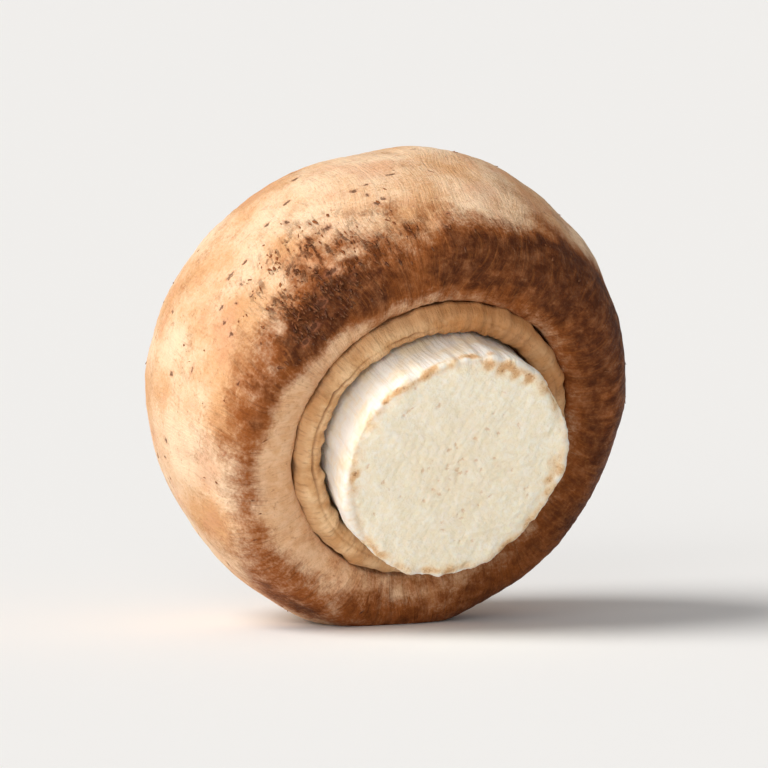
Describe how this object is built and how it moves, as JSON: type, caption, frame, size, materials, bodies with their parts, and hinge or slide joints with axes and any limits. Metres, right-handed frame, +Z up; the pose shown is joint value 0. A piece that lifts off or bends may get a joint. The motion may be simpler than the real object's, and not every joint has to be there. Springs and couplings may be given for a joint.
{
  "type": "button mushroom",
  "caption": "Brown-capped button mushroom lying on its side: domed cap with an inrolled margin, a pale veil ring and a short thick white stem with a knife-cut end.",
  "frame": {"origin": "on the resting surface, below the centre of the mushroom's box", "axes": "+Z up, away from the surface it lies on; -Y the way the stem points, 21 degrees downwards; +X to the right when facing the stem"},
  "size_m": [0.0438, 0.0384, 0.044],
  "materials": {
    "cap_skin": "satin",
    "veil_membrane": "matte",
    "stem_flesh": "matte"
  },
  "bodies": {
    "root": {"cap": "cap_skin", "veil": "veil_membrane", "stem": "stem_flesh"}
  },
  "joints": []
}
